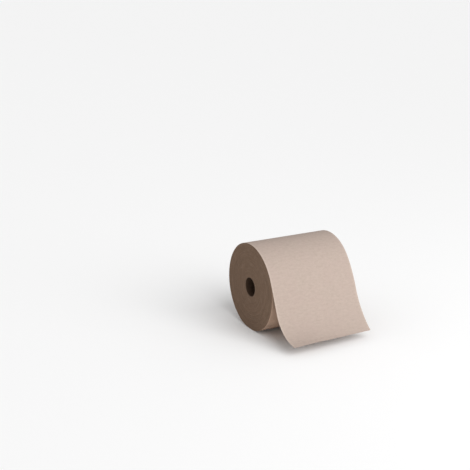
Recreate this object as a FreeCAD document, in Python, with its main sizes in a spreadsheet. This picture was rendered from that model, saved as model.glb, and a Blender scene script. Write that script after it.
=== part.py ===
import FreeCAD, Part
import math
import os

import Sketcher

# A hardwound roll of paper towel that lies on its side, with its free end drawn out over the front.
#
# The core's axis runs along X. The free end leaves the roll on the -Y side. Z is up, and the origin is on the
# surface that the roll lies on, below the middle of its axis. Lengths are in millimetres and angles in degrees.
#
# Every outline of the web is drawn in the Y-Z plane about the core's axis, and each body is then raised so that
# the flat spot under the roll touches the surface.

SIZES = {
    # the wound web
    "web_width": 200,
    "roll_diameter": 194,
    "sheet_thickness": 0.25,
    "root_gap": 0.3,
    "flat_width": 24,
    # the paperboard core
    "core_bore": 42,
    "core_wall": 1.5,
    "core_recess": 0.5,
    # the spiral lines that the wound edges show on both ends
    "wind_turns": 7,
    "wind_margin": 5,
    "wind_line_width": 1.3,
    "wind_line_depth": 0.5,
    # the free end: where it leaves the roll, as an angle above level
    "departure_angle": 40,
    # its left edge: a loose curve, a straight drop, a flare outwards and a short lip
    "left_loose_radius": 110,
    "left_fall_angle": 66,
    "left_drop": 67,
    "left_flare_radius": 76,
    "left_slope_angle": 8,
    "left_lip": 14,
    # its right edge, which is shorter because the web is cut at a slant
    "right_loose_radius": 220,
    "right_fall_angle": 67.5,
    "right_drop": 3,
    "right_flare_radius": 178,
    "right_slope_angle": 37,
    "right_lip": 6,
}

doc = FreeCAD.newDocument("paper_towel_roll")
sheet = doc.addObject("Spreadsheet::Sheet", "sizes")
for row, (alias, number) in enumerate(SIZES.items(), start=1):
    sheet.set(f"A{row}", alias)
    sheet.set(f"B{row}", str(number))
    sheet.setAlias(f"B{row}", alias)
doc.recompute()

# What follows from the sizes, as expressions of the sheet
ROLL_RADIUS = "sizes.roll_diameter / 2"
STEP = "(sizes.sheet_thickness + sizes.root_gap)"
COVERED_RADIUS = f"({ROLL_RADIUS} - {STEP})"
AXIS_HEIGHT = f"sqrt({COVERED_RADIUS}^2 - (sizes.flat_width / 2)^2)"
CORE_RADIUS = "(sizes.core_bore / 2 + sizes.core_wall)"
WIND_START = f"({CORE_RADIUS} + sizes.wind_margin)"
WIND_GROWTH = f"(({ROLL_RADIUS} - sizes.wind_margin - {WIND_START}) / (2 * sizes.wind_turns))"


def size(alias):
    """The number in the sheet's cell of that name."""
    return float(sheet.get(alias))


def polar(radius, degrees):
    """A point of a sketch, by its distance and direction from the core's axis."""
    angle = math.radians(degrees)
    return FreeCAD.Vector(radius * math.cos(angle), radius * math.sin(angle), 0)


def new_body(name):
    """A body that stands at the height of the core's axis."""
    body = doc.addObject("PartDesign::Body", name)
    body.Label = name
    body.setExpression("Placement.Base.z", AXIS_HEIGHT)
    return body


def origin_plane(body, role):
    """One of the three planes through the body's own origin."""
    return [feature for feature in body.Origin.OriginFeatures if feature.Role == role][0]


def new_sketch(body, name, role, offset=None):
    """A sketch on one of the body's own origin planes, moved along that plane's normal by an expression."""
    sketch = body.newObject("Sketcher::SketchObject", name)
    sketch.AttachmentSupport = [(origin_plane(body, role), "")]
    sketch.MapMode = "FlatFace"
    if offset:
        sketch.setExpression("AttachmentOffset.Base.z", offset)
    return sketch


def add_line(sketch, start, end, construction=False):
    return sketch.addGeometry(Part.LineSegment(start, end), construction)


def add_arc(sketch, centre, radius, start, end):
    """An arc that runs counterclockwise from one direction to another, in degrees."""
    circle = Part.Circle(centre, FreeCAD.Vector(0, 0, 1), radius)
    return sketch.addGeometry(Part.ArcOfCircle(circle, math.radians(start), math.radians(end)))


def relate(sketch, kind, *references):
    """A constraint that holds no number, such as Tangent or Coincident."""
    sketch.addConstraint(Sketcher.Constraint(kind, *references))


def drive(sketch, name, expression, kind, *references):
    """A dimension whose value comes from the sheet; the last reference is its value as drawn."""
    index = sketch.addConstraint(Sketcher.Constraint(kind, *references))
    sketch.renameConstraint(index, name)
    sketch.setExpression(f"Constraints.{name}", expression)


# The places of a line's or arc's start, end and centre in a constraint, and the sketch's own origin and axes
START, END, CENTRE = 1, 2, 3
ORIGIN = (-1, 1)
HORIZONTAL_AXIS = -1


def pad_both_ways(body, sketch, name, length):
    """A pad that runs along X, half to each side of the sketch."""
    pad = body.newObject("PartDesign::Pad", name)
    pad.Profile = sketch
    pad.SideType = "Symmetric"
    pad.setExpression("Length", length)


def draw_circle(sketch, name, radius, expression):
    """A circle about the core's axis: its radius as drawn, and the expression that drives it."""
    circle = sketch.addGeometry(Part.Circle(FreeCAD.Vector(), FreeCAD.Vector(0, 0, 1), radius), False)
    relate(sketch, "Coincident", circle, CENTRE, *ORIGIN)
    drive(sketch, name, expression, "Radius", circle, radius)


def make_core():
    """The paperboard tube that the web is wound on, a little short of the web at each end."""
    body = new_body("core")
    sketch = new_sketch(body, "core_ring", "YZ_Plane")
    bore_radius = size("core_bore") / 2
    draw_circle(sketch, "bore", bore_radius, "sizes.core_bore / 2")
    draw_circle(sketch, "outside", bore_radius + size("core_wall"), CORE_RADIUS)
    pad_both_ways(body, sketch, "core_tube", "sizes.web_width - 2 * sizes.core_recess")
    return body


def draw_wound_outline(sketch):
    """The outside of the wound turns: two half turns about two centres, which leave one step where the free end
    starts, and a chord below, where the soft roll has settled flat."""
    radius = size("roll_diameter") / 2
    step = size("sheet_thickness") + size("root_gap")
    covered = radius - step
    root = 180 - size("departure_angle")
    flat_width = size("flat_width")
    flat_half_angle = math.degrees(math.asin(flat_width / 2 / covered))

    spoke = add_line(sketch, FreeCAD.Vector(), polar(radius, root), True)
    front = add_arc(sketch, FreeCAD.Vector(), covered, root, 270 - flat_half_angle)
    flat = add_line(sketch, polar(covered, 270 - flat_half_angle), polar(covered, 270 + flat_half_angle))
    below = add_arc(sketch, FreeCAD.Vector(), covered, 270 + flat_half_angle, root + 180)
    top = add_arc(sketch, polar(step / 2, root), covered + step / 2, root + 180, root + 360)
    ledge = add_line(sketch, polar(radius, root), polar(covered, root))

    relate(sketch, "Coincident", spoke, START, *ORIGIN)
    relate(sketch, "Coincident", front, CENTRE, *ORIGIN)
    relate(sketch, "Coincident", below, CENTRE, *ORIGIN)
    relate(sketch, "Coincident", front, END, flat, START)
    relate(sketch, "Coincident", flat, END, below, START)
    relate(sketch, "Coincident", below, END, top, START)
    relate(sketch, "Coincident", top, END, ledge, START)
    relate(sketch, "Coincident", ledge, END, front, START)
    relate(sketch, "Coincident", ledge, START, spoke, END)
    relate(sketch, "PointOnObject", ledge, END, spoke)
    relate(sketch, "PointOnObject", below, END, spoke)
    relate(sketch, "PointOnObject", top, CENTRE, spoke)
    relate(sketch, "Equal", front, below)
    relate(sketch, "Horizontal", flat)
    drive(sketch, "departure", "180 - sizes.departure_angle", "Angle", HORIZONTAL_AXIS, START, spoke, START,
          math.radians(root))
    drive(sketch, "radius", ROLL_RADIUS, "Distance", spoke, radius)
    drive(sketch, "covered", COVERED_RADIUS, "Radius", front, covered)
    drive(sketch, "flat", "sizes.flat_width", "Distance", flat, flat_width)


def draw_free_edge(sketch, side):
    """The section of the free end along one edge of the web. Its outer line is a loose curve that is tangent to
    the roll, a straight drop, a flare that turns outwards and a lip; its inner line lies one thickness behind."""
    radius = size("roll_diameter") / 2
    thickness = size("sheet_thickness")
    root = 180 - size("departure_angle")
    loose = size(f"{side}_loose_radius")
    fall = size(f"{side}_fall_angle")
    flare = size(f"{side}_flare_radius")
    slope = size(f"{side}_slope_angle")

    spoke = add_line(sketch, FreeCAD.Vector(), polar(radius, root), True)
    loose_centre = polar(radius - loose, root)
    drop_start = loose_centre + polar(loose, 90 + fall)
    drop_end = drop_start + polar(size(f"{side}_drop"), 180 + fall)
    flare_centre = drop_end + polar(flare, 90 + fall)
    lip_start = flare_centre + polar(flare, 270 + slope)
    lip_end = lip_start + polar(size(f"{side}_lip"), 180 + slope)
    behind_drop = polar(thickness, 270 + fall)
    behind_lip = polar(thickness, 270 + slope)

    curve = add_arc(sketch, loose_centre, loose, root, 90 + fall)
    drop = add_line(sketch, drop_start, drop_end)
    sweep = add_arc(sketch, flare_centre, flare, 270 + slope, 270 + fall)
    lip = add_line(sketch, lip_start, lip_end)
    cut = add_line(sketch, lip_end, lip_end + behind_lip)
    lip_back = add_line(sketch, lip_end + behind_lip, lip_start + behind_lip)
    sweep_back = add_arc(sketch, flare_centre, flare + thickness, 270 + slope, 270 + fall)
    drop_back = add_line(sketch, drop_end + behind_drop, drop_start + behind_drop)
    curve_back = add_arc(sketch, loose_centre, loose - thickness, root, 90 + fall)
    join = add_line(sketch, polar(radius - thickness, root), polar(radius, root))

    relate(sketch, "Coincident", spoke, START, *ORIGIN)
    relate(sketch, "Coincident", spoke, END, curve, START)
    relate(sketch, "PointOnObject", curve, CENTRE, spoke)
    relate(sketch, "Tangent", curve, END, drop, START)
    relate(sketch, "Tangent", drop, END, sweep, END)
    relate(sketch, "Tangent", sweep, START, lip, START)
    relate(sketch, "Coincident", lip, END, cut, START)
    relate(sketch, "Perpendicular", lip, cut)
    relate(sketch, "Parallel", lip, lip_back)
    relate(sketch, "Equal", join, cut)
    relate(sketch, "Coincident", cut, END, lip_back, START)
    relate(sketch, "Coincident", sweep_back, CENTRE, sweep, CENTRE)
    relate(sketch, "Tangent", sweep_back, START, lip_back, END)
    relate(sketch, "Tangent", drop_back, START, sweep_back, END)
    relate(sketch, "Coincident", curve_back, CENTRE, curve, CENTRE)
    relate(sketch, "Tangent", curve_back, END, drop_back, END)
    relate(sketch, "Coincident", join, START, curve_back, START)
    relate(sketch, "Coincident", join, END, curve, START)
    relate(sketch, "PointOnObject", join, START, spoke)
    drive(sketch, "departure", "180 - sizes.departure_angle", "Angle", HORIZONTAL_AXIS, START, spoke, START,
          math.radians(root))
    drive(sketch, "radius", ROLL_RADIUS, "Distance", spoke, radius)
    drive(sketch, "thickness", "sizes.sheet_thickness", "Distance", join, thickness)
    drive(sketch, "loose_radius", f"sizes.{side}_loose_radius", "Radius", curve, loose)
    drive(sketch, "flare_radius", f"sizes.{side}_flare_radius", "Radius", sweep, flare)
    drive(sketch, "drop", f"sizes.{side}_drop", "Distance", drop, size(f"{side}_drop"))
    drive(sketch, "lip", f"sizes.{side}_lip", "Distance", lip, size(f"{side}_lip"))
    drive(sketch, "fall", f"180 + sizes.{side}_fall_angle", "Angle", HORIZONTAL_AXIS, START, drop, START,
          math.radians(180 + fall))
    drive(sketch, "slope", f"180 + sizes.{side}_slope_angle", "Angle", HORIZONTAL_AXIS, START, lip, START,
          math.radians(180 + slope))


def make_free_end(body):
    """The web between its left and right edge sections, joined to the step in the wound outline."""
    left = new_sketch(body, "left_edge", "YZ_Plane", "-sizes.web_width / 2")
    draw_free_edge(left, "left")
    right = new_sketch(body, "right_edge", "YZ_Plane", "sizes.web_width / 2")
    draw_free_edge(right, "right")
    free_end = body.newObject("PartDesign::AdditiveLoft", "free_end")
    free_end.Profile = left
    free_end.Sections = [right]
    free_end.Ruled = True


def draw_wind_path(sketch):
    """A spiral of half turns, whose ends all lie on one level line and whose radius grows by the same amount at
    each: the line that the edge of the wound web follows from near the core to near the outside."""
    start = size("core_bore") / 2 + size("core_wall") + size("wind_margin")
    half_turns = 2 * round(size("wind_turns"))
    growth = (size("roll_diameter") / 2 - size("wind_margin") - start) / half_turns
    previous = None
    for index in range(half_turns):
        side = 1 if index % 2 == 0 else -1
        near = side * (start + index * growth)
        far = -side * (start + (index + 1) * growth)
        centre = FreeCAD.Vector((near + far) / 2, 0, 0)
        first_angle = 0 if side > 0 else 180
        turn = add_arc(sketch, centre, abs(near - far) / 2, first_angle, first_angle + 180)
        if previous is None:
            drive(sketch, "wind_start", WIND_START, "DistanceX", *ORIGIN, turn, START, start)
            relate(sketch, "PointOnObject", turn, START, HORIZONTAL_AXIS)
        else:
            relate(sketch, "Coincident", turn, START, previous, END)
        relate(sketch, "PointOnObject", turn, CENTRE, HORIZONTAL_AXIS)
        relate(sketch, "PointOnObject", turn, END, HORIZONTAL_AXIS)
        drive(sketch, f"half_turn_{index}", f"{WIND_START} + {index + 0.5} * {WIND_GROWTH}", "Radius", turn,
              abs(near - far) / 2)
        previous = turn


def draw_wind_tool(sketch):
    """The V that cuts a wind line, with its tip inside the end face and its open side as far outside it."""
    face = size("web_width") / 2
    start = size("core_bore") / 2 + size("core_wall") + size("wind_margin")
    depth = size("wind_line_depth")
    width = size("wind_line_width")
    tip = FreeCAD.Vector(face - depth, start, 0)
    near = FreeCAD.Vector(face + depth, start - width, 0)
    far = FreeCAD.Vector(face + depth, start + width, 0)
    inner = add_line(sketch, tip, near)
    mouth = add_line(sketch, near, far)
    outer = add_line(sketch, far, tip)
    relate(sketch, "Coincident", inner, END, mouth, START)
    relate(sketch, "Coincident", mouth, END, outer, START)
    relate(sketch, "Coincident", outer, END, inner, START)
    relate(sketch, "Vertical", mouth)
    relate(sketch, "Equal", inner, outer)
    drive(sketch, "tip_place", "sizes.web_width / 2 - sizes.wind_line_depth", "DistanceX", *ORIGIN,
          inner, START, face - depth)
    drive(sketch, "tip_radius", WIND_START, "DistanceY", *ORIGIN, inner, START, start)
    drive(sketch, "reach", "2 * sizes.wind_line_depth", "DistanceX", inner, START, mouth, START, 2 * depth)
    drive(sketch, "mouth", "2 * sizes.wind_line_width", "Distance", mouth, 2 * width)


def make_wind_lines(body):
    """The spiral groove on both ends, cut by a V-shaped tool that follows the winding."""
    path = new_sketch(body, "wind_path", "YZ_Plane", "sizes.web_width / 2")
    draw_wind_path(path)
    tool = new_sketch(body, "wind_tool", "XY_Plane")
    draw_wind_tool(tool)
    groove = body.newObject("PartDesign::SubtractivePipe", "wind_lines")
    groove.Profile = tool
    groove.Spine = path
    doc.recompute()
    mirror = body.newObject("PartDesign::Mirrored", "wind_lines_both_ends")
    mirror.Originals = [groove]
    mirror.MirrorPlane = (origin_plane(body, "YZ_Plane"), [""])
    body.Tip = mirror


def make_towel_roll():
    """The web: its wound turns, its free end and the bore that the core fills."""
    body = new_body("towel_roll")
    outline = new_sketch(body, "wound_outline", "YZ_Plane")
    draw_wound_outline(outline)
    pad_both_ways(body, outline, "wound_turns", "sizes.web_width")
    make_free_end(body)
    seat = new_sketch(body, "core_seat", "YZ_Plane")
    draw_circle(seat, "seat", size("core_bore") / 2 + size("core_wall"), CORE_RADIUS)
    pocket = body.newObject("PartDesign::Pocket", "core_hole")
    pocket.Profile = seat
    pocket.SideType = "Symmetric"
    pocket.setExpression("Length", "2 * sizes.web_width")
    doc.recompute()
    make_wind_lines(body)
    return body


def export(bodies):
    """Checks every object and writes one file for each body."""
    failed = [item.Name for item in doc.Objects if "Invalid" in item.State or "Error" in item.State]
    if failed:
        raise RuntimeError(f"these objects failed to compute: {failed}")
    os.makedirs("parts", exist_ok=True)
    for body in bodies:
        shape = body.Shape
        if shape.isNull() or not shape.isValid() or len(shape.Solids) != 1:
            raise RuntimeError(f"{body.Label} isn't one valid solid")
        shape.exportStep(f"parts/{body.Label}.step")
        box = shape.BoundBox
        print(f"{body.Label}: {shape.Volume / 1000:.1f} cm3, x {box.XMin:.2f} to {box.XMax:.2f},"
              f" y {box.YMin:.2f} to {box.YMax:.2f}, z {box.ZMin:.2f} to {box.ZMax:.2f}")


core = make_core()
towel_roll = make_towel_roll()
doc.recompute()
export([core, towel_roll])
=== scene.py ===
# %% [markdown]
# # A roll of brown paper towel
# The object is a washroom roll: a paperboard tube, one long web of creped brown paper wound on it more than
# six hundred times, and the free end of that web hanging down in front of the roll.
# The construction model holds the true sizes. This file opens it and dresses it. It makes the last turn and
# the free end as one thin sheet, then the wound turns under it with the edges of the paper showing at both
# ends, and then the spiral-wound tube. The finishes, the light and the camera follow.
# Each step starts with a note like this one. It says what the piece is on a real roll, how it could be made
# in Blender, and why it is made the way that it is.

import bisect
import math

import bmesh
import bpy
from mathutils import Matrix, Vector, noise


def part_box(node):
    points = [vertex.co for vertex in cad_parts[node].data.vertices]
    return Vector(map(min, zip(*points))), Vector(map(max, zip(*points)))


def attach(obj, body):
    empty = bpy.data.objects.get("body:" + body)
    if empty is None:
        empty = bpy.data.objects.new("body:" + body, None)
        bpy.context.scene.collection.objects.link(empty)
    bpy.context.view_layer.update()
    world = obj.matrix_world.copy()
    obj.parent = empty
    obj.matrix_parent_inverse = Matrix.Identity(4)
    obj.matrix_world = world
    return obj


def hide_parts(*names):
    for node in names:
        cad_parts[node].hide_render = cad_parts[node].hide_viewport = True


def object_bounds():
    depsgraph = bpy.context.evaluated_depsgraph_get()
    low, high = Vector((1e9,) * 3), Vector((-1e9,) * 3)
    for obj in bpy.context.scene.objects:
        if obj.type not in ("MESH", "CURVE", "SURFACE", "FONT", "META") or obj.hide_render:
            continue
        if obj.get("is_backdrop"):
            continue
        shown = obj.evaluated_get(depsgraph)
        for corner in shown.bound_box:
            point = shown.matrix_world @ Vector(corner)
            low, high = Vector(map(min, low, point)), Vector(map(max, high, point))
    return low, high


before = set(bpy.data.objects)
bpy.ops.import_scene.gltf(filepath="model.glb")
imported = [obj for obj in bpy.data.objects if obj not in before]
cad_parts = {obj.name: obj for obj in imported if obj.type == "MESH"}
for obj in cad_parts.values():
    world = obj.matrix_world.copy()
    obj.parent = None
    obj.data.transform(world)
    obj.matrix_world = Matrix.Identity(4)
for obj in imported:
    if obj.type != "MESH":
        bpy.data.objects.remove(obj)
solid_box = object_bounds()
for node in sorted(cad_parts):
    low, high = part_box(node)
    print(node, "size in mm", [round(side * 1000, 1) for side in high - low])

# %% [markdown]
# ## The roll's section
# Seen from the end, the last turn starts at the line where the free end leaves, runs once round the roll and
# comes back on top of its own start, so it is half a millimetre further out by then. Such a growing turn can
# be drawn with two half circles whose centres lie a little apart, which is how a spiral is drawn with
# compasses. A plain circle would be simpler, but it would leave no step for the free end to come off.
# The roll also rests on a small flat, where its own weight has pressed it. The overall sizes are read from
# the construction model, and only what its box can't tell is typed in. Lengths are millimetres from the
# core's axis, and angles are degrees from the back of the roll, counted the way the paper is wound.

# %% Sizes of the roll's section
MILLIMETRES = 1000
core_low, core_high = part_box("core")
roll_low, roll_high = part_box("towel_roll")
WEB_WIDTH = round((roll_high.x - roll_low.x) * MILLIMETRES, 3)
CORE_LENGTH = round((core_high.x - core_low.x) * MILLIMETRES, 3)
CORE_OUTSIDE = round(core_high.y * MILLIMETRES, 3)
CORE_WALL = 1.5
CORE_BORE = CORE_OUTSIDE - CORE_WALL
AXIS_HEIGHT = (core_low.z + core_high.z) / 2 * MILLIMETRES
SHEET = 0.25
LEAVES_AT = 140.0
BOTTOM = 270.0
TURN_START_RADIUS = 96.45
TURN_END_RADIUS = 97.0
print("the web is", WEB_WIDTH, "mm wide and the core's axis is", round(AXIS_HEIGHT, 2), "mm up")
print("the flat is", round(2 * math.sqrt(TURN_START_RADIUS**2 - AXIS_HEIGHT**2), 1), "mm wide")


# %% Radius of the last turn
def polar(length, degrees):
    """A step of this length in this direction, in the roll's section."""
    turned = math.radians(degrees)
    return Vector((length * math.cos(turned), length * math.sin(turned)))


def last_turn_radius(degrees):
    """The outside of the last turn, from where it starts, at 140 degrees, to where it leaves, at 500."""
    if degrees < LEAVES_AT + 180:
        steepness = max(math.cos(math.radians(degrees - BOTTOM)), 0.5)
        return min(TURN_START_RADIUS, AXIS_HEIGHT / steepness)
    shift = (TURN_END_RADIUS - TURN_START_RADIUS) / 2
    half_circle = TURN_END_RADIUS - shift
    turned = math.radians(degrees - LEAVES_AT)
    return shift * math.cos(turned) + math.sqrt(half_circle**2 - (shift * math.sin(turned)) ** 2)


for degrees in (140, 270, 320, 410, 500):
    print("radius at", degrees, "degrees:", round(last_turn_radius(degrees), 3))

# %% [markdown]
# ## The free end's side edges
# Off the roll the paper keeps some of the curl it was wound with, falls, and then sweeps forward. Each side
# edge is four stretches, each with a length and the angle that it turns through: a loose bend, a short drop,
# a flare the other way and a nearly straight lip. A curve with a few handles could draw such an edge too,
# but bends with a radius and an angle look like bent paper and tell how long the paper is.
# The two edges differ, so the free end twists a little between them, as it does when it is pulled out by one
# corner. Straight lines across, from edge to edge, make the surface between them, because a sheet of paper
# that bends one way stays straight the other way.


# %% Stretches of each side edge
def edge_stretches(loose, fall, drop, flare, slope, lip):
    """One side edge of the free end, as four pairs of a length and the degrees turned."""
    bend = fall + 90 - LEAVES_AT
    sweep = fall - slope
    return [
        (loose * math.radians(bend), bend),
        (drop, 0.0),
        (flare * math.radians(sweep), -sweep),
        (lip, 0.0),
    ]


LEFT_EDGE = edge_stretches(loose=110, fall=66, drop=67, flare=76, slope=8, lip=14)
RIGHT_EDGE = edge_stretches(loose=220, fall=67.5, drop=3, flare=178, slope=37, lip=6)
for side, edge in (("left", LEFT_EDGE), ("right", RIGHT_EDGE)):
    print("the free end's", side, "edge is", round(sum(length for length, turn in edge), 1), "mm long")


# %% Walk along a side edge
def walk(stretches, done):
    """Where an edge has got to after so many of its stretches, such as 2.5, and its heading there."""
    point = polar(TURN_END_RADIUS, LEAVES_AT)
    heading = LEAVES_AT + 90
    for length, turn in stretches:
        share = min(max(done, 0.0), 1.0)
        half_turn = math.radians(turn * share) / 2
        straight = math.sin(half_turn) / half_turn if half_turn else 1.0
        point = point + polar(length * share * straight, heading + turn * share / 2)
        heading += turn * share
        done -= 1
    return point, heading


for side, edge in (("left", LEFT_EDGE), ("right", RIGHT_EDGE)):
    corner = walk(edge, len(edge))[0]
    print("the", side, "corner is", round(corner.y + AXIS_HEIGHT, 1), "mm above the floor")

# %% Join the two edges
STEPS_IN_STRETCH = 40
FREE_STEPS = len(LEFT_EDGE) * STEPS_IN_STRETCH


def free_point(x, done):
    """A point of the free end and its heading, on the straight line that joins the two edges there."""
    left, left_heading = walk(LEFT_EDGE, done)
    right, right_heading = walk(RIGHT_EDGE, done)
    share = x / WEB_WIDTH + 0.5
    return left.lerp(right, share), left_heading + (right_heading - left_heading) * share


def free_lengths(x):
    """The length of paper from the roll to each of many places down the free end."""
    points = [free_point(x, step / STEPS_IN_STRETCH)[0] for step in range(FREE_STEPS + 1)]
    lengths = [0.0]
    for before, after in zip(points, points[1:]):
        lengths.append(lengths[-1] + (after - before).length)
    return lengths


TURN_LENGTH = 2 * math.pi * (TURN_START_RADIUS + TURN_END_RADIUS) / 2
FREE_LENGTH = free_lengths(0)[-1]
SHEET_LENGTH = TURN_LENGTH + FREE_LENGTH
print("the last turn is", round(TURN_LENGTH, 1), "mm long and the free end", round(FREE_LENGTH, 1))

# %% [markdown]
# ## The last turn and the free end
# On the real roll they are one piece of paper, so they are one sheet here too, and no seam shows where the
# paper leaves the roll. A cloth simulation could drape it, but paper this stiff holds a curve instead of
# folding, and its path is known already. So a flat grid, as wide and as long as the real piece, is laid
# along the path. It gets the thickness of the construction model, a quarter of a millimetre. That is about
# twice what such paper has, and still thin enough for its edge to look like paper.
# Its rows are set out by the length of the paper, column by column. The two side edges take different ways
# down, and rows set out by angle would crowd together at one of them and show as a crease. Each point's
# place on the flat web is kept as the UV map, in metres, so that the crepe follows the paper round.
# Creped paper never lies quite smooth, so a few tenths of a millimetre of slack and cockle go in as well,
# and the cut edge wanders a little. Cut edges stay sharp in the shading, and all the rest is smooth.

# %% Cockle of the paper
SLACK = 0.16
HELD_DOWN_WITHIN = 12
SLACK_GROWS_OVER = 25
LONG_SWELL = 0.9
SHORT_SWELL = 0.28
COCKLED_AFTER = 90


def ripple(x, y, size, seed):
    """Smooth unevenness between about -1 and 1, with swells of this size."""
    return noise.noise(Vector((x / size, y / size, seed)))


def slack(x, degrees):
    """How far the last turn stands off the turns beneath it, none of it where the roll rests."""
    past_flat = abs(degrees - BOTTOM) - HELD_DOWN_WITHIN
    looseness = min(max(past_flat / SLACK_GROWS_OVER, 0.0), 1.0)
    around = 0.35 * ripple(x, degrees, 34, 3.0) + 0.65 * ripple(x, 0.0, 13, 8.0)
    return SLACK * looseness * (0.5 + 0.5 * around)


def cockle(x, distance):
    """How far the free end lifts from its smooth path, growing from nothing at the roll."""
    freedom = min(distance / COCKLED_AFTER, 1.0)
    long_swell = LONG_SWELL * ripple(x, distance * 0.7, 48, 21.0)
    short_swell = SHORT_SWELL * ripple(x, distance * 1.6, 15, 5.0)
    return freedom * (long_swell + short_swell)


lifts = [cockle(x, FREE_LENGTH) for x in range(-100, 101, 5)]
print("the lip lies between", round(min(lifts), 2), "and", round(max(lifts), 2), "mm off its smooth path")

# %% Place a point of the flat web
SIDE_WANDER = 0.22
CUT_WANDER = 0.35


def web_point(x, distance, lengths):
    """Where a point of the flat web lies, in millimetres from the core's axis."""
    wander = SIDE_WANDER * (x / 100) * ripple(distance, 0.0, 22, 40.0)
    if distance <= TURN_LENGTH:
        degrees = LEAVES_AT + 360 * distance / TURN_LENGTH
        y, z = polar(last_turn_radius(degrees) + slack(x, degrees), degrees)
        return Vector((x + wander, y, z))
    off_roll = min(distance - TURN_LENGTH, lengths[-1])
    step = min(bisect.bisect_right(lengths, off_roll) - 1, FREE_STEPS - 1)
    part = (off_roll - lengths[step]) / (lengths[step + 1] - lengths[step])
    place, heading = free_point(x, (step + part) / STEPS_IN_STRETCH)
    lift = cockle(x, off_roll) + slack(x, LEAVES_AT + 360)
    near_cut = (off_roll / lengths[-1]) ** 6
    cut_wander = CUT_WANDER * near_cut * ripple(x, 0.0, 9, 60.0)
    y, z = place + polar(lift, heading - 90) + polar(cut_wander, heading)
    return Vector((x + wander, y, z))


lip_middle = web_point(0.0, SHEET_LENGTH, free_lengths(0.0))
print("the middle of the lip is", round(lip_middle.z + AXIS_HEIGHT, 1), "mm above the floor")


# %% Make a finished piece
SHARP_FROM = math.radians(60)


def new_piece(name, shape, node):
    """Takes the shape from the core's axis to its place on the floor, in metres, and puts the piece in the
    scene.
    """
    for edge in shape.edges:
        edge.smooth = edge.is_manifold and edge.calc_face_angle() < SHARP_FROM
    bmesh.ops.translate(shape, vec=(0, 0, AXIS_HEIGHT), verts=shape.verts)
    bmesh.ops.scale(shape, vec=Vector((1, 1, 1)) / MILLIMETRES, verts=shape.verts)
    mesh = bpy.data.meshes.new(name)
    shape.to_mesh(mesh)
    shape.free()
    mesh.shade_smooth()
    piece = bpy.data.objects.new(name, mesh)
    bpy.context.scene.collection.objects.link(piece)
    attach(piece, "root")
    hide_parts(node)
    print(name, "has", len(mesh.polygons), "faces")
    return piece


# %% Lay the sheet
SHEET_COLUMNS = 44
SHEET_ROWS = 500
sheet_shape = bmesh.new()
flat_place = sheet_shape.loops.layers.uv.new("flat_web")
bmesh.ops.create_grid(sheet_shape, x_segments=SHEET_COLUMNS, y_segments=SHEET_ROWS, size=0.5)
lengths_at = {}
for vert in sheet_shape.verts:
    x = vert.co.x * WEB_WIDTH
    if x not in lengths_at:
        lengths_at[x] = free_lengths(x)
    distance = (vert.co.y + 0.5) * (TURN_LENGTH + lengths_at[x][-1])
    for loop in vert.link_loops:
        loop[flat_place].uv = (x / MILLIMETRES, distance / MILLIMETRES)
    vert.co = web_point(x, distance, lengths_at[x])
bmesh.ops.reverse_faces(sheet_shape, faces=sheet_shape.faces)
last_turn = new_piece("last_turn", sheet_shape, "towel_roll")
thickness = last_turn.modifiers.new("thickness", "SOLIDIFY")
thickness.thickness = SHEET / MILLIMETRES
thickness.offset = -1
thickness.use_even_offset = True

# %% [markdown]
# ## The wound turns
# Under the last turn are more than six hundred others. They are one solid here, because nobody sees between
# them, but their edges make the two end faces, and those are never flat. Some turns lie a hair further in or
# out than their neighbours, groups of turns that were wound tighter sit back together, and the line between
# two groups runs round as a spiral.
# A plain cylinder with a bump in its finish would show some of this, but a bump casts no shadow and looks
# flat from the side. So a section line is spun about the axis, with a point every 0.4 mm, which is every few
# turns, and the unevenness is pressed into the end faces afterwards. It fades out at the rim, where the last
# turn holds the rest together.

# %% Spin the section
TURN_CLEARANCE = 0.03
FACE_CUTS = 185
WIDTH_CUTS = 40
BORE_CUTS = 3
SPIN_STEPS = 180
wound_radius = TURN_START_RADIUS - SHEET
half_width = WEB_WIDTH / 2
wound_shape = bmesh.new()
corners = [
    (-half_width, CORE_OUTSIDE),
    (-half_width, wound_radius),
    (half_width, wound_radius),
    (half_width, CORE_OUTSIDE),
]
section = [wound_shape.verts.new((x, radius, 0)) for x, radius in corners]
sides = [wound_shape.edges.new((section[i], section[(i + 1) % 4])) for i in range(4)]
for side, cuts in zip(sides, (FACE_CUTS, WIDTH_CUTS, FACE_CUTS, BORE_CUTS)):
    bmesh.ops.subdivide_edges(wound_shape, edges=[side], cuts=cuts)
bmesh.ops.spin(
    wound_shape,
    geom=wound_shape.verts[:] + wound_shape.edges[:],
    axis=(1, 0, 0),
    cent=(0, 0, 0),
    angle=2 * math.pi,
    steps=SPIN_STEPS,
    use_merge=True,
)
print("the spun turns have", len(wound_shape.faces), "faces")

# %% Lines between groups of turns
GROUP_START = 27.5
GROUP_END = 92.0
GROUPS = 7
LINE_DEPTH = 0.34
LINE_HALF_WIDTH = 0.65


def group_line(radius, degrees):
    """How deep the spiral line between two groups of turns is here, in millimetres."""
    step = (GROUP_END - GROUP_START) / GROUPS
    turns = (radius - GROUP_START) / step - (degrees % 360) / 360
    line_radius = GROUP_START + step * (round(turns) + (degrees % 360) / 360)
    if not GROUP_START <= line_radius <= GROUP_END:
        return 0.0
    return LINE_DEPTH * max(0.0, 1 - abs(turns - round(turns)) * step / LINE_HALF_WIDTH)


print("the lines between groups are", round((GROUP_END - GROUP_START) / GROUPS, 1), "mm apart")

# %% Unevenness of the paper edges
MEAN_DEPTH = 0.13
RIM_BAND = 2.0


def uneven(radius, degrees, size, around, seed):
    """Smooth unevenness of an end face, in rings of this size that change this often round the roll."""
    place = polar(around, degrees)
    return noise.noise(Vector((radius / size, place.x + seed, place.y)))


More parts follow.
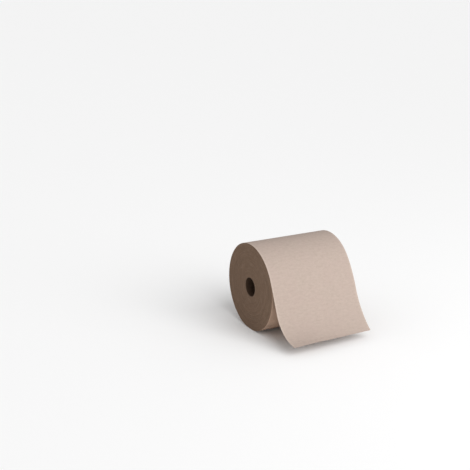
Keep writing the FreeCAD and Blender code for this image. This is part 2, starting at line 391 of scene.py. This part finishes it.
def edge_depth(side, radius, degrees):
    """How far the paper edges lie in from the end face, in millimetres."""
    turns = 0.10 * uneven(radius, degrees, 0.75, 2.2, side * 9)
    bands = 0.09 * uneven(radius, degrees, 5.5, 0.7, side * 5)
    waves = 0.10 * uneven(radius, degrees, 30, 1.3, side * 3)
    inside_rim = min(max((wound_radius - radius) / RIM_BAND, 0.0), 1.0)
    return inside_rim * max(0.0, MEAN_DEPTH + turns + bands + waves) + group_line(radius, degrees)


depths = [edge_depth(1, radius, 200) for radius in range(23, 96)]
print("the paper edges lie", round(min(depths), 2), "to", round(max(depths), 2), "mm in from the face")

# %% Shape the spun turns
ON_END_FACE = half_width - 0.1
JUST_BEFORE_START = LEAVES_AT - 0.01
for vert in wound_shape.verts:
    x, radius = vert.co.x, math.hypot(vert.co.y, vert.co.z)
    degrees = math.degrees(math.atan2(vert.co.z, vert.co.y)) % 360
    degrees += 360 if degrees < JUST_BEFORE_START else 0
    outside = last_turn_radius(degrees) + slack(x, degrees) - SHEET - TURN_CLEARANCE
    share = (radius - CORE_OUTSIDE) / (wound_radius - CORE_OUTSIDE)
    radius = CORE_OUTSIDE + (outside - CORE_OUTSIDE) * share
    y, z = polar(radius, degrees)
    if abs(x) > ON_END_FACE:
        side = math.copysign(1, x)
        x -= side * edge_depth(side, radius, degrees)
    vert.co = Vector((x, y, z))
bmesh.ops.recalc_face_normals(wound_shape, faces=wound_shape.faces)
wound_turns = new_piece("wound_turns", wound_shape, "towel_roll")

# %% Print the size of the last turn's sheet when flat
SHEET_LENGTH / MILLIMETRES
print("the sheet is", round(WEB_WIDTH, 1), "by", round(SHEET_LENGTH, 1), "mm when flat")

# %% [markdown]
# ## The core
# A towel core is made of strips of paperboard wound round a rod as a spiral, so the edges of the inner strip
# meet along a helix, which shows inside the bore as a fine groove. A plain cylinder would hide how the core
# is made. A screw modifier could wind two circles, but the ends of the wall between them would stay open. So
# the wall's square end, a flat ring, is drawn out along the axis and turned a little at each step. One point
# of its inner edge lies a little further out than the rest, and the path of that point is the groove.

# %% Draw the wall's end
PLY_LEAD = 91.0
CORE_STEPS = 160
RING_POINTS = 200
GROOVE_DEPTH = 0.4
core_shape = bmesh.new()
stand_up = Matrix.Rotation(math.pi / 2, 4, "Y")
bmesh.ops.create_circle(core_shape, segments=RING_POINTS, radius=CORE_BORE, matrix=stand_up)
widened = bmesh.ops.extrude_edge_only(core_shape, edges=core_shape.edges[:])["geom"]
outer_edge = [item for item in widened if isinstance(item, bmesh.types.BMVert)]
outwards = CORE_OUTSIDE / CORE_BORE
bmesh.ops.scale(core_shape, vec=(1, outwards, outwards), verts=outer_edge)
core_shape.verts.ensure_lookup_table()
core_shape.verts[0].co *= (CORE_BORE + GROOVE_DEPTH) / CORE_BORE
bmesh.ops.translate(core_shape, vec=(-CORE_LENGTH / 2, 0, 0), verts=core_shape.verts)
print("the end of the core's wall is a ring of", len(core_shape.faces), "faces")

# %% Wind the tube
advance = Vector((CORE_LENGTH / CORE_STEPS, 0, 0))
turn = Matrix.Rotation(2 * math.pi * advance.x / PLY_LEAD, 4, "X")
wall_end = core_shape.verts[:] + core_shape.edges[:] + core_shape.faces[:]
for step in range(CORE_STEPS):
    wall_end = bmesh.ops.extrude_face_region(core_shape, geom=wall_end)["geom"]
    moved = [item for item in wall_end if isinstance(item, bmesh.types.BMVert)]
    bmesh.ops.translate(core_shape, vec=advance, verts=moved)
    bmesh.ops.rotate(core_shape, cent=(0, 0, 0), matrix=turn, verts=moved)
bmesh.ops.recalc_face_normals(core_shape, faces=core_shape.faces)
print("the groove goes round", round(CORE_LENGTH / PLY_LEAD, 1), "times in the length of the core")
print("the core's board measures", round(core_shape.calc_volume() / 1000, 1), "cubic centimetres")
core_tube = new_piece("core_tube", core_shape, "core")

# %% [markdown]
# ## Working with finishes
# A finish is a network of nodes. Drawn in the editor it can't be read in this file, and written out one node
# at a time it is long. So a small class wraps a node's output and lets plain arithmetic add the Math nodes,
# and a second class has one method that adds any other node, with short forms for the two that every finish
# here uses most: mixing two colours, and spreading a narrow range of values over a wide one.


# %% A value in a finish
class Flow:
    """A number, colour or vector on its way through a finish."""

    def __init__(self, finish, socket):
        self.finish = finish
        self.socket = socket

    def reckon(self, operation, *values):
        return self.finish.node("ShaderNodeMath", {"operation": operation}, dict(enumerate(values)))

    def __add__(self, other):
        return self.reckon("ADD", self, other)

    def __sub__(self, other):
        return self.reckon("SUBTRACT", self, other)

    def __rsub__(self, other):
        return self.reckon("SUBTRACT", other, self)

    def __mul__(self, other):
        return self.reckon("MULTIPLY", self, other)

    def __pow__(self, other):
        return self.reckon("POWER", self, other)

    def __rpow__(self, other):
        return self.reckon("POWER", other, self)

    def __abs__(self):
        return self.reckon("ABSOLUTE", self)

    __radd__ = __add__
    __rmul__ = __mul__


# %% A finish and its nodes
class Finish:
    """A material, with one method that adds a node to it."""

    def __init__(self, name):
        self.material = bpy.data.materials.new(name)
        self.material.use_nodes = True
        self.nodes = self.material.node_tree.nodes
        self.links = self.material.node_tree.links
        self.nodes.clear()

    def node(self, kind, settings, inputs, output=0):
        """Adds a node. The settings come first, because they can change which sockets it has."""
        made = self.nodes.new(kind)
        for setting, value in settings.items():
            setattr(made, setting, value)
        for socket, value in inputs.items():
            if isinstance(value, Flow):
                self.links.new(value.socket, made.inputs[socket])
            else:
                made.inputs[socket].default_value = value
        return Flow(self, made.outputs[output]) if made.outputs else None

    def mix(self, share, first, second, way="MIX"):
        """Mixes two colours."""
        settings = {"data_type": "RGBA", "blend_type": way}
        return self.node("ShaderNodeMix", settings, {0: share, 6: first, 7: second}, 2)

    def spread(self, value, low, high, first=0.0, last=1.0):
        """Spreads what lies between low and high over first to last, and holds the rest at those ends."""
        return self.node("ShaderNodeMapRange", {}, {0: value, 1: low, 2: high, 3: first, 4: last})

    def axes(self, vector):
        """The three numbers of a vector."""
        separated = self.node("ShaderNodeSeparateXYZ", {}, {0: vector}).socket.node
        return [Flow(self, socket) for socket in separated.outputs]

    def put_on(self, piece, surface):
        """Ends the network with this surface and gives the finish to the piece."""
        self.node("ShaderNodeOutputMaterial", {}, {"Surface": surface})
        piece.data.materials.clear()
        piece.data.materials.append(self.material)
        print(self.material.name, "has", len(self.nodes), "nodes and is on", piece.name)


# %% Colours as they are picked
def seen(red, green, blue):
    """A colour as a screen shows it, from 0 to 255, turned into the amounts of light that Blender uses."""
    shares = [level / 255 for level in (red, green, blue)]
    return (*[s / 12.92 if s < 0.04045 else ((s + 0.055) / 1.055) ** 2.4 for s in shares], 1)


print("a screen's middle grey gives back", round(seen(128, 128, 128)[0], 3), "of the light")

# %% [markdown]
# ## Creped brown paper
# Unbleached towel is matt and warm grey-brown. Up close it has three things on it: the crepe, fine bars
# across the web about a millimetre apart, where a blade scraped the wet sheet off its drum; a cloudy look
# from fibres that lie thicker here and thinner there; and single fibres, light and dark. The crepe goes into
# the bump, because bars this fine would need millions of faces. All of it reads the flat web's UV map, in
# metres, so the bars stay square to the paper's edge all the way round the roll and down the free end.
# An image texture could hold all this, but it would repeat or blur, and noise with a different scale across
# and along the web gives bars, clouds and fibres at any distance.

# %% Patterns on the flat web
CREPE_BARS_IN_METRE = 820
paper = Finish("creped_brown_paper")
flat_web = paper.node("ShaderNodeUVMap", {"uv_map": "flat_web"}, {})
web_across, web_along = paper.axes(flat_web)[:2]


def web_noise(across, along, detail, roughness=0.55):
    """Uneven shade over the web from 0 to 1, with so many swells for each metre across and along it."""
    place = paper.node("ShaderNodeMapping", {}, {0: flat_web, 3: (across, along, 1)})
    inputs = {"Vector": place, "Scale": 1.0, "Detail": detail, "Roughness": roughness}
    return paper.node("ShaderNodeTexNoise", {}, inputs)


crepe_bars = web_noise(95, CREPE_BARS_IN_METRE, 4, 0.6)
long_bars = web_noise(60, 290, 3)
clouds = web_noise(140, 220, 3)
patches = web_noise(26, 18, 2)
fibres = web_noise(2600, 900, 2, 0.7)
bar_spacing = MILLIMETRES / CREPE_BARS_IN_METRE
print("the finest crepe bars are about", round(bar_spacing, 1), "mm apart")

# %% Colour of the paper
thicker = paper.spread(clouds, 0.32, 0.68)
barred = paper.spread(long_bars, 0.3, 0.7, last=0.5)
redder = paper.spread(patches, 0.3, 0.7, last=0.35)
dark_fibre = paper.spread(fibres, 0.66, 0.74, last=0.5)
light_fibre = paper.spread(fibres, 0.34, 0.26, last=0.45)
paper_colour = paper.mix(thicker, seen(163, 148, 138), seen(174, 158, 147))
paper_colour = paper.mix(barred, paper_colour, seen(177, 162, 152))
paper_colour = paper.mix(redder, paper_colour, seen(173, 154, 146))
paper_colour = paper.mix(dark_fibre, paper_colour, seen(126, 101, 84))
paper_colour = paper.mix(light_fibre, paper_colour, seen(199, 186, 176))
print("the paper's colour takes", len(paper.nodes), "nodes")

# %% [markdown]
# ## Painted highlight on the slit edges and painted shade under the free end
# The colour changes in two places along the web. Its side edges were slit, and the fluff there catches the
# light, so they are painted paler, as a painted highlight. And the stretch that the free end lay on, and now
# hangs over, is painted browner than the lamps' shade alone makes it, as painted warm shade. Both could be
# painted by hand. The flat web already tells how far across and along a point lies, so two ranges of that
# find them.

# %% Paint a highlight on the slit edges and shade on the stretch under the free end
UNDER_FREE_END = FREE_LENGTH / MILLIMETRES
UNDER_FREE_END_BLUR = 0.008
FLUFF_HIGHLIGHT_FROM = 0.0955
FLUFF_HIGHLIGHT_TO = 0.0995
# Painted shade: this masks the stretch of the last turn under the free end for a warm brown shade.
painted_shade_under_free_end = paper.spread(web_along, UNDER_FREE_END - UNDER_FREE_END_BLUR, UNDER_FREE_END + UNDER_FREE_END_BLUR, 1.0, 0.0)
# Painted highlight: the slit edges are made paler, as the light that their fluff catches.
fluff_and_painted_highlight = paper.spread(abs(web_across), FLUFF_HIGHLIGHT_FROM, FLUFF_HIGHLIGHT_TO, last=0.3)
# The painted highlight on the slit edges is left out under the free end, where they lie in shade.
paper_colour = paper.mix(fluff_and_painted_highlight * (1 - painted_shade_under_free_end), paper_colour, seen(199, 183, 170))
# Painted warm shade: the stretch under the free end is made browner.
paper_colour = paper.mix(painted_shade_under_free_end * 0.85, paper_colour, (1.17, 0.97, 0.80, 1), "MULTIPLY")
print("the free end lay on the first", round(UNDER_FREE_END, 3), "m of the last turn")

# %% Surface of the paper
crepe_height = crepe_bars * 0.9 + long_bars * 0.7 + clouds * 0.2
crepe_bump = paper.node("ShaderNodeBump", {}, {"Strength": 0.9, "Distance": 0.0006, "Height": crepe_height})
paper_surface = paper.node(
    "ShaderNodeBsdfPrincipled",
    {},
    {"Base Color": paper_colour, "Roughness": 0.92, "Specular IOR Level": 0.22, "Normal": crepe_bump},
)
paper.put_on(last_turn, paper_surface)

# %% [markdown]
# ## Wound paper edges
# An end face is the same paper seen edge on. Light that falls between the turns doesn't come back out, so
# the face is darker and browner than the sheet. It is finely ringed, and the rings are never even. A wave
# texture could draw rings, but all of them alike. Noise that changes fast with the distance from the core's
# axis and slowly round the roll draws broken rings, one for every few turns. The distance is worked out from
# Object coordinates, which are metres, because the piece sits unmoved at the origin.

# %% Patterns on the end faces
RINGS_IN_METRE = 2400
edges = Finish("wound_paper_edges")
edge_y, edge_z = edges.axes(edges.node("ShaderNodeTexCoord", {}, {}, "Object"))[1:]
edge_z = edge_z - AXIS_HEIGHT / MILLIMETRES
edge_radius = (edge_y * edge_y + edge_z * edge_z) ** 0.5


def ring_noise(rings, around, detail=2.0):
    """Broken rings, with so many for each metre out from the axis."""
    inputs = {0: edge_radius * rings, 1: edge_y * around, 2: edge_z * around}
    place = edges.node("ShaderNodeCombineXYZ", {}, inputs)
    return edges.node("ShaderNodeTexNoise", {}, {"Vector": place, "Scale": 1.0, "Detail": detail})


single_turns = ring_noise(RINGS_IN_METRE, 22)
turn_groups = ring_noise(330, 9)
scuffs = ring_noise(110, 70, 4.0)
print("the finest rings are about", round(MILLIMETRES / RINGS_IN_METRE, 2), "mm apart")

# %% Colour of the end faces
grouped = edges.spread(turn_groups, 0.3, 0.7)
between_turns = edges.spread(single_turns, 0.36, 0.62, 0.55, 0.0)
scuffed = edges.spread(scuffs, 0.5, 0.75, last=0.3)
# Painted light: the end faces are made paler towards the front, as if more light fell there.
painted_light_front = edges.spread(edge_y - edge_z * 0.5, -0.085, 0.085, 0.65, 0.0)
edge_colour = edges.mix(grouped, seen(117, 95, 78), seen(123, 100, 83))
edge_colour = edges.mix(between_turns, edge_colour, seen(91, 73, 60))
edge_colour = edges.mix(scuffed, edge_colour, seen(136, 114, 98))
edge_colour = edges.mix(painted_light_front, edge_colour, (1.14, 1.16, 1.16, 1), "MULTIPLY")
print("the colour of the end faces takes", len(edges.nodes), "nodes")

# %% Surface of the end faces
edge_height = single_turns + scuffs * 0.4
edge_bump = edges.node("ShaderNodeBump", {}, {"Strength": 0.7, "Distance": 0.0003, "Height": edge_height})
edge_surface = edges.node(
    "ShaderNodeBsdfPrincipled",
    {},
    {"Base Color": edge_colour, "Roughness": 0.95, "Specular IOR Level": 0.15, "Normal": edge_bump},
)
edges.put_on(wound_turns, edge_surface)

# %% [markdown]
# ## Core board
# The core is grey-brown paperboard, smoother than the towel. Its plies
# follow the helix of the groove, so the streaks in the board lean the same way. To get that lean without a
# seam, the coordinates are turned back about the axis by as much as the groove has turned there, and noise
# is stretched along them. The board is coloured far darker than paperboard, as painted shade in the bore,
# so the cut ends are paler than the bore.

# %% Patterns on the board
STREAKS_IN_METRE = 420
STREAKS_ALONG = 60
board = Finish("spiral_core_board")
board_place = board.node("ShaderNodeTexCoord", {}, {}, "Object")
board_along = board.axes(board_place)[0]
turned_back = board.node(
    "ShaderNodeVectorRotate",
    {"rotation_type": "X_AXIS"},
    {
        "Vector": board_place,
        "Center": (0, 0, AXIS_HEIGHT / MILLIMETRES),
        "Angle": board_along * (-2 * math.pi * MILLIMETRES / PLY_LEAD),
    },
)
stretch = (STREAKS_ALONG, STREAKS_IN_METRE, STREAKS_IN_METRE)
stretched = board.node("ShaderNodeMapping", {}, {0: turned_back, 3: stretch})
streaks = board.node("ShaderNodeTexNoise", {}, {"Vector": stretched, "Scale": 1.0, "Detail": 3.0})
print("the streaks are about", round(MILLIMETRES / STREAKS_IN_METRE, 1), "mm wide")

# %% Colour and surface of the board
CUT_FROM = (CORE_LENGTH / 2 - 0.5) / MILLIMETRES
CUT_TO = (CORE_LENGTH / 2 - 0.1) / MILLIMETRES
at_cut_end = board.spread(abs(board_along), CUT_FROM, CUT_TO, last=0.85)
# Painted shade: the board's colour is dark, to stand for the shade in the bore; the cut ends get a paler
# colour.
board_colour_with_painted_shade = board.mix(board.spread(streaks, 0.3, 0.7), seen(62, 45, 34), seen(78, 59, 45))
board_colour_with_painted_shade = board.mix(at_cut_end, board_colour_with_painted_shade, seen(124, 103, 86))
board_bump = board.node("ShaderNodeBump", {}, {"Strength": 0.3, "Distance": 0.0002, "Height": streaks})
board_surface = board.node(
    "ShaderNodeBsdfPrincipled",
    {},
    {"Base Color": board_colour_with_painted_shade, "Roughness": 0.85, "Specular IOR Level": 0.25, "Normal": board_bump},
)
board.put_on(core_tube, board_surface)

# %% [markdown]
# ## Floor
# The roll lies on a plain white sweep. A studio uses a curved backdrop, but the picture has no horizon in
# it, so one big pale square does. It is stage, which means that it is in the picture but not part of the
# roll.

# %% Lay the floor
floor_shape = bmesh.new()
bmesh.ops.create_grid(floor_shape, x_segments=1, y_segments=1, size=40)
floor_mesh = bpy.data.meshes.new("floor")
floor_shape.to_mesh(floor_mesh)
floor_shape.free()
floor = bpy.data.objects.new("floor", floor_mesh)
bpy.context.scene.collection.objects.link(floor)
floor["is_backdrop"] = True
pale = Finish("pale_floor")
floor_look = {"Base Color": (0.93, 0.93, 0.93, 1), "Roughness": 0.9}
pale.put_on(floor, pale.node("ShaderNodeBsdfPrincipled", {}, floor_look))

# %% [markdown]
# ## Light
# In the photograph the sheet is bright and its shade changes slowly, and the left end face is in shade,
# which is what makes the roll look round. One large soft source does that. Here it is a sun with a very
# wide angle, in front and above, because a sun lights every height alike. A square panel low on the right
# adds light where the free end hangs steeply, and even light from all round does the rest.

# %% Lamps
KEY_DIRECTION = Vector((0.16, -0.84, 0.70))
PANEL_PLACE = Vector((0.95, -1.35, 0.55))
PANEL_AIM = Vector((0, -0.08, 0.08))
key_data = bpy.data.lights.new("soft_key", "SUN")
key_data.energy = 2.15
key_data.angle = math.radians(55)
key = bpy.data.objects.new("soft_key", key_data)
key.rotation_euler = KEY_DIRECTION.to_track_quat("Z", "Y").to_euler()

panel_data = bpy.data.lights.new("fill_panel", "AREA")
panel_data.shape = "SQUARE"
panel_data.size = 1.1
panel_data.energy = 6.5
panel = bpy.data.objects.new("fill_panel", panel_data)
panel.location = PANEL_PLACE
panel.rotation_euler = (PANEL_PLACE - PANEL_AIM).to_track_quat("Z", "Y").to_euler()

for lamp in (key, panel):
    bpy.context.scene.collection.objects.link(lamp)
    print(lamp.name, "has strength", round(lamp.data.energy, 2))

# %% Light from all round
ALL_ROUND = 0.55
world = bpy.data.worlds.new("studio")
bpy.context.scene.world = world
world.use_nodes = True
background = world.node_tree.nodes["Background"]
background.inputs["Color"].default_value = (1, 1, 1, 1)
background.inputs["Strength"].default_value = ALL_ROUND
print("the light from all round has strength", ALL_ROUND)

# %% [markdown]
# ## Camera
# The photograph was taken from the left of the roll and from a little above it, from nearly three metres
# with a long lens, so the lines along the roll hardly draw together. A camera that is not turned looks
# straight down, so the first angle tips it up until it looks 17 and a half degrees below the horizon. The
# colours are shown as they are, without the film look that Blender gives a scene unless it is told not to.

# %% Place the camera
camera_data = bpy.data.cameras.new("camera")
camera_data.lens = 97.04
camera_data.sensor_width = 36.0
camera = bpy.data.objects.new("camera", camera_data)
camera.location = (-1.3497, -2.2564, 1.0290)
camera.rotation_euler = [math.radians(angle) for angle in (72.457, -0.291, -28.153)]
bpy.context.scene.collection.objects.link(camera)
bpy.context.scene.camera = camera
bpy.context.scene.view_settings.view_transform = "Standard"
print("the camera is", round(camera.location.length, 2), "m from where the roll stands")

# %% [markdown]
# ## Close the scene
# The dressed roll is meant to be as large as the construction model, so both boxes are printed side by side.

# %% Print both boxes and finish
dressed_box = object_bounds()
boxes = {
    "construction": [list(corner) for corner in solid_box],
    "dressed": [list(corner) for corner in dressed_box],
}
for name, (low, high) in boxes.items():
    low_mm, high_mm = ([round(v * MILLIMETRES, 2) for v in corner] for corner in (low, high))
    print(name, "box in mm", low_mm, high_mm)
